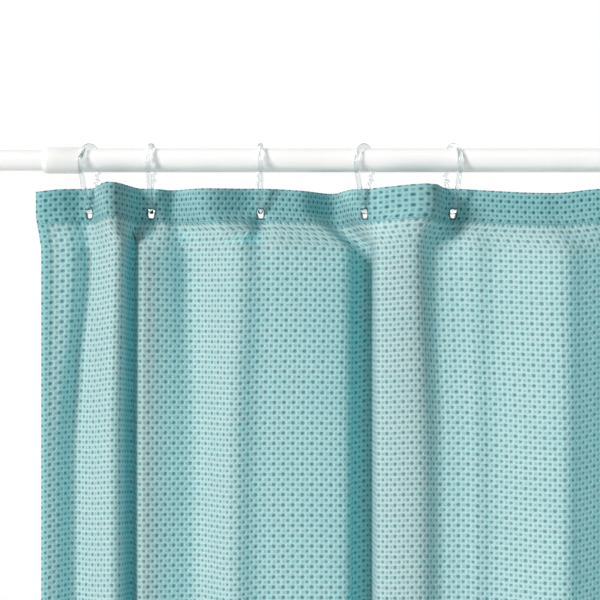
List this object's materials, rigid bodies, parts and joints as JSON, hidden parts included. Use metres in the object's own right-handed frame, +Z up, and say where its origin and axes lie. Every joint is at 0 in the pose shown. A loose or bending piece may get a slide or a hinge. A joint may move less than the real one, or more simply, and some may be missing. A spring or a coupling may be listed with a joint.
{
  "type": "shower curtain",
  "caption": "Waffle-weave fabric shower curtain hung by clear pear-shaped plastic hooks from a white telescoping tension rod; it draws along the rod and swings on it.",
  "frame": {"origin": "middle of the outer face of the fixed wall pad, on the rod's axis", "axes": "+X along the rod, out of the fixed wall pad into the wall; the rod and the curtain lie on the -X side; -Y is the curtain's front; +Z up"},
  "size_m": [1.41, 0.0849, 1.8494],
  "materials": {
    "white_coat": "smooth white powder coat, satin gloss",
    "white_plastic": "moulded white plastic, soft gloss",
    "grey_rubber": "matt pale grey rubber",
    "black_nylon": "moulded nylon",
    "spring_steel": "drawn spring wire",
    "clear_plastic": "clear moulded plastic, polished",
    "aqua_waffle_cloth": "waffle-weave cloth, pale aqua ribs over teal hollows, single layer slightly translucent",
    "teal_thread": "close zigzag stitching"
  },
  "bodies": {
    "rod": {"outer_tube": "white_coat", "tube_collar": "white_plastic", "fixed_end_cap": "white_plastic", "fixed_end_pad": "grey_rubber"},
    "lock": {"lock_sleeve": "black_nylon"},
    "thin_tube": {"inner_tube": "white_coat", "lock_cam": "black_nylon", "spring_plug": "black_nylon", "foot_spring": "spring_steel"},
    "foot": {"sprung_foot": "white_plastic", "sprung_foot_pad": "grey_rubber"},
    "curtain_end": {"hook_12": "clear_plastic", "panel_strip_12": "aqua_waffle_cloth", "buttonhole_stitching_12": "teal_thread"},
    "hook_01_set": {"hook_01": "clear_plastic", "panel_strip_01": "aqua_waffle_cloth", "buttonhole_stitching_01": "teal_thread"},
    "hook_02_set": {"hook_02": "clear_plastic", "panel_strip_02": "aqua_waffle_cloth", "buttonhole_stitching_02": "teal_thread"},
    "hook_03_set": {"hook_03": "clear_plastic", "panel_strip_03": "aqua_waffle_cloth", "buttonhole_stitching_03": "teal_thread"},
    "hook_04_set": {"hook_04": "clear_plastic", "panel_strip_04": "aqua_waffle_cloth", "buttonhole_stitching_04": "teal_thread"},
    "hook_05_set": {"hook_05": "clear_plastic", "panel_strip_05": "aqua_waffle_cloth", "buttonhole_stitching_05": "teal_thread"},
    "hook_06_set": {"hook_06": "clear_plastic", "panel_strip_06": "aqua_waffle_cloth", "buttonhole_stitching_06": "teal_thread"},
    "hook_07_set": {"hook_07": "clear_plastic", "panel_strip_07": "aqua_waffle_cloth", "buttonhole_stitching_07": "teal_thread"},
    "hook_08_set": {"hook_08": "clear_plastic", "panel_strip_08": "aqua_waffle_cloth", "buttonhole_stitching_08": "teal_thread"},
    "hook_09_set": {"hook_09": "clear_plastic", "panel_strip_09": "aqua_waffle_cloth", "buttonhole_stitching_09": "teal_thread"},
    "hook_10_set": {"hook_10": "clear_plastic", "panel_strip_10": "aqua_waffle_cloth", "buttonhole_stitching_10": "teal_thread"},
    "hook_11_set": {"hook_11": "clear_plastic", "panel_strip_11": "aqua_waffle_cloth", "buttonhole_stitching_11": "teal_thread"}
  },
  "joints": [
    {"name": "rod_length", "type": "slide", "parent": "rod", "child": "lock", "axis": [-1, 0, 0], "range_m": [-0.05, 0.5]},
    {"name": "rod_twist_lock", "type": "hinge", "parent": "lock", "child": "thin_tube", "pos_m": [-0.6689, 0, 0], "axis": [1, 0, 0], "range_deg": [-120, 0]},
    {"name": "foot_push", "type": "slide", "parent": "thin_tube", "child": "foot", "axis": [1, 0, 0], "range_m": [0, 0.012], "stiffness_N_per_m": 3000, "springref_m": -0.01, "deforming": ["foot_spring"]},
    {"name": "curtain_swing", "type": "hinge", "parent": "rod", "child": "curtain_end", "pos_m": [-0.1, 0, 0], "axis": [1, 0, 0], "range_deg": [-30, 30]},
    {"name": "curtain_draw", "type": "slide", "parent": "curtain_end", "child": "hook_01_set", "axis": [1, 0, 0], "range_m": [0, 0.87], "deforming": ["panel_strip_01", "panel_strip_02", "panel_strip_03", "panel_strip_04", "panel_strip_05", "panel_strip_06", "panel_strip_07", "panel_strip_08", "panel_strip_09", "panel_strip_10", "panel_strip_11", "panel_strip_12"]},
    {"name": "hook_02_slide", "type": "slide", "parent": "curtain_end", "child": "hook_02_set", "axis": [1, 0, 0], "range_m": [0, 0.8273]},
    {"name": "hook_03_slide", "type": "slide", "parent": "curtain_end", "child": "hook_03_set", "axis": [1, 0, 0], "range_m": [0, 0.7508]},
    {"name": "hook_04_slide", "type": "slide", "parent": "curtain_end", "child": "hook_04_set", "axis": [1, 0, 0], "range_m": [0, 0.678]},
    {"name": "hook_05_slide", "type": "slide", "parent": "curtain_end", "child": "hook_05_set", "axis": [1, 0, 0], "range_m": [0, 0.6165]},
    {"name": "hook_06_slide", "type": "slide", "parent": "curtain_end", "child": "hook_06_set", "axis": [1, 0, 0], "range_m": [0, 0.5055]},
    {"name": "hook_07_slide", "type": "slide", "parent": "curtain_end", "child": "hook_07_set", "axis": [1, 0, 0], "range_m": [0, 0.417]},
    {"name": "hook_08_slide", "type": "slide", "parent": "curtain_end", "child": "hook_08_set", "axis": [1, 0, 0], "range_m": [0, 0.3451]},
    {"name": "hook_09_slide", "type": "slide", "parent": "curtain_end", "child": "hook_09_set", "axis": [1, 0, 0], "range_m": [0, 0.2491]},
    {"name": "hook_10_slide", "type": "slide", "parent": "curtain_end", "child": "hook_10_set", "axis": [1, 0, 0], "range_m": [0, 0.183]},
    {"name": "hook_11_slide", "type": "slide", "parent": "curtain_end", "child": "hook_11_set", "axis": [1, 0, 0], "range_m": [0, 0.0781]}
  ],
  "couplings": [
    {"joint": "hook_02_slide", "follows": "curtain_draw", "ratio": 0.95083},
    {"joint": "hook_03_slide", "follows": "curtain_draw", "ratio": 0.86291},
    {"joint": "hook_04_slide", "follows": "curtain_draw", "ratio": 0.77926},
    {"joint": "hook_05_slide", "follows": "curtain_draw", "ratio": 0.70858},
    {"joint": "hook_06_slide", "follows": "curtain_draw", "ratio": 0.58097},
    {"joint": "hook_07_slide", "follows": "curtain_draw", "ratio": 0.47929},
    {"joint": "hook_08_slide", "follows": "curtain_draw", "ratio": 0.39658},
    {"joint": "hook_09_slide", "follows": "curtain_draw", "ratio": 0.28621},
    {"joint": "hook_10_slide", "follows": "curtain_draw", "ratio": 0.21032},
    {"joint": "hook_11_slide", "follows": "curtain_draw", "ratio": 0.089658}
  ]
}
